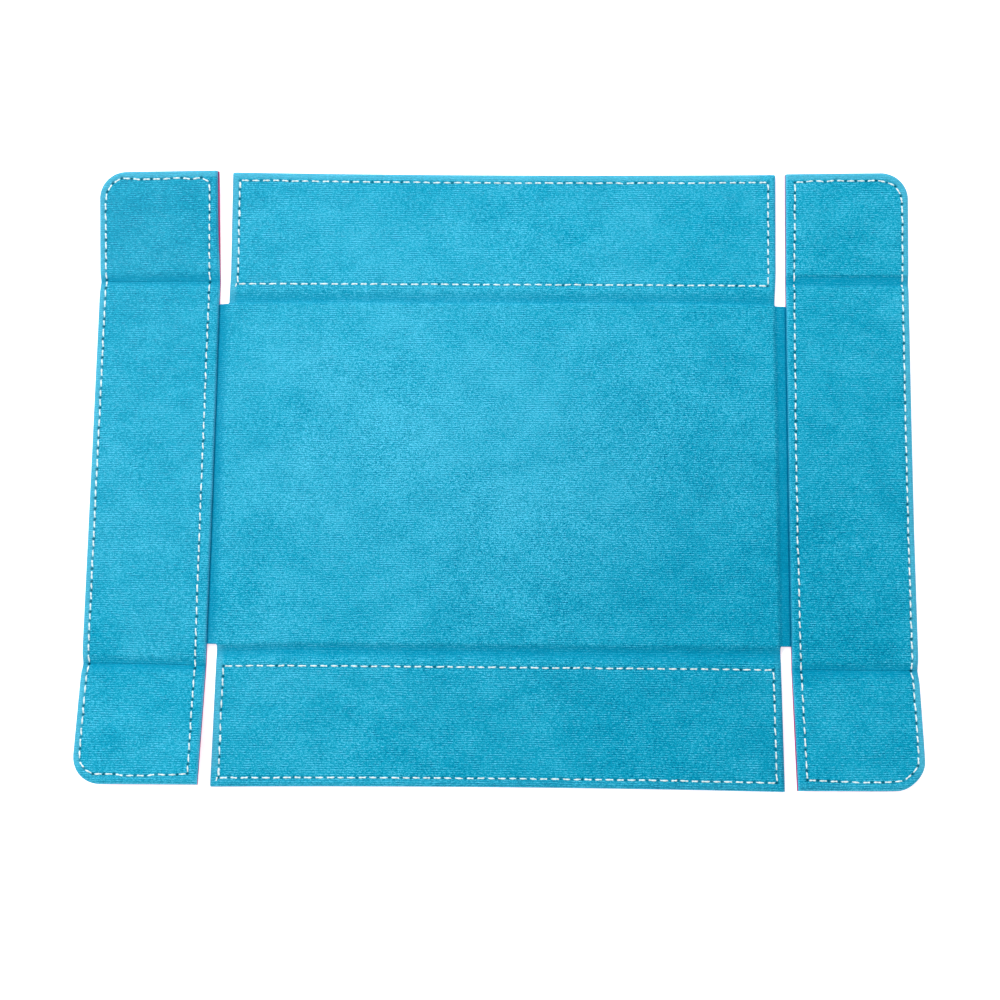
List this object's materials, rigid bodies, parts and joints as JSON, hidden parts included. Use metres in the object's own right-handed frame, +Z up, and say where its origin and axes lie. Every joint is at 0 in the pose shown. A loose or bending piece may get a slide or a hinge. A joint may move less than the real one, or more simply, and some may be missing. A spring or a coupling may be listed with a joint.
{
  "type": "folding dice tray",
  "caption": "Folding dice tray laid open: stitched velvet over stiff boards, leather underside; walls and corner tabs fold up on fabric hinges and are held by hidden magnets.",
  "frame": {"origin": "centre of the floor's leather underside, on the surface the tray lies on", "axes": "+X to the right along the tray's length, +Y to the back across its depth, +Z up through the velvet side"},
  "size_m": [0.28, 0.2112, 0.0087],
  "materials": {
    "velvet": "short-pile turquoise velvet with fine cross ribs",
    "leather": "satin crimson-pink fine-grained synthetic leather",
    "board": "matt grey bookbinder's board",
    "thread": "twisted ivory polyester sewing thread",
    "magnet": "nickel-plated magnet disc"
  },
  "bodies": {
    "floor": {"floor_leather": "leather", "floor_board": "board", "floor_velvet": "velvet"},
    "back_wall": {"back_wall_leather": "leather", "back_wall_board": "board", "back_wall_velvet": "velvet", "back_wall_left_magnet": "magnet", "back_wall_right_magnet": "magnet", "back_wall_needle_thread": "thread", "back_wall_bobbin_thread": "thread"},
    "front_wall": {"front_wall_leather": "leather", "front_wall_board": "board", "front_wall_velvet": "velvet", "front_wall_left_magnet": "magnet", "front_wall_right_magnet": "magnet", "front_wall_needle_thread": "thread", "front_wall_bobbin_thread": "thread"},
    "left_wall": {"left_wall_leather": "leather", "left_wall_board": "board", "left_wall_velvet": "velvet", "left_wall_inner_needle_thread": "thread", "left_wall_inner_bobbin_thread": "thread", "left_wall_outer_needle_thread": "thread", "left_wall_outer_bobbin_thread": "thread"},
    "right_wall": {"right_wall_leather": "leather", "right_wall_board": "board", "right_wall_velvet": "velvet", "right_wall_inner_needle_thread": "thread", "right_wall_inner_bobbin_thread": "thread", "right_wall_outer_needle_thread": "thread", "right_wall_outer_bobbin_thread": "thread"},
    "back_left_tab": {"back_left_tab_leather": "leather", "back_left_tab_board": "board", "back_left_tab_velvet": "velvet", "back_left_tab_magnet": "magnet", "back_left_tab_needle_thread": "thread", "back_left_tab_bobbin_thread": "thread"},
    "back_right_tab": {"back_right_tab_leather": "leather", "back_right_tab_board": "board", "back_right_tab_velvet": "velvet", "back_right_tab_magnet": "magnet", "back_right_tab_needle_thread": "thread", "back_right_tab_bobbin_thread": "thread"},
    "front_left_tab": {"front_left_tab_leather": "leather", "front_left_tab_board": "board", "front_left_tab_velvet": "velvet", "front_left_tab_magnet": "magnet", "front_left_tab_needle_thread": "thread", "front_left_tab_bobbin_thread": "thread"},
    "front_right_tab": {"front_right_tab_leather": "leather", "front_right_tab_board": "board", "front_right_tab_velvet": "velvet", "front_right_tab_magnet": "magnet", "front_right_tab_needle_thread": "thread", "front_right_tab_bobbin_thread": "thread"}
  },
  "joints": [
    {"name": "left_wall_fold", "type": "hinge", "parent": "floor", "child": "left_wall", "pos_m": [-0.0964, 0, 0.0016], "axis": [0, 1, 0], "range_deg": [0, 90]},
    {"name": "right_wall_fold", "type": "hinge", "parent": "floor", "child": "right_wall", "pos_m": [0.0964, 0, 0.0016], "axis": [0, -1, 0], "range_deg": [0, 90]},
    {"name": "back_wall_fold", "type": "hinge", "parent": "floor", "child": "back_wall", "pos_m": [0, 0.061, 0.0016], "axis": [1, 0, 0], "range_deg": [0, 90]},
    {"name": "front_wall_fold", "type": "hinge", "parent": "floor", "child": "front_wall", "pos_m": [0, -0.061, 0.0016], "axis": [-1, 0, 0], "range_deg": [0, 90]},
    {"name": "back_left_tab_fold", "type": "hinge", "parent": "left_wall", "child": "back_left_tab", "pos_m": [-0.1191, 0.0662, 0.0016], "axis": [1, 0, 0], "range_deg": [-5, 85]},
    {"name": "back_right_tab_fold", "type": "hinge", "parent": "right_wall", "child": "back_right_tab", "pos_m": [0.1191, 0.0662, 0.0016], "axis": [1, 0, 0], "range_deg": [-3, 87]},
    {"name": "front_left_tab_fold", "type": "hinge", "parent": "left_wall", "child": "front_left_tab", "pos_m": [-0.1191, -0.0662, 0.0016], "axis": [-1, 0, 0], "range_deg": [-8, 82]},
    {"name": "front_right_tab_fold", "type": "hinge", "parent": "right_wall", "child": "front_right_tab", "pos_m": [0.1191, -0.0662, 0.0016], "axis": [-1, 0, 0], "range_deg": [-8, 82]}
  ]
}
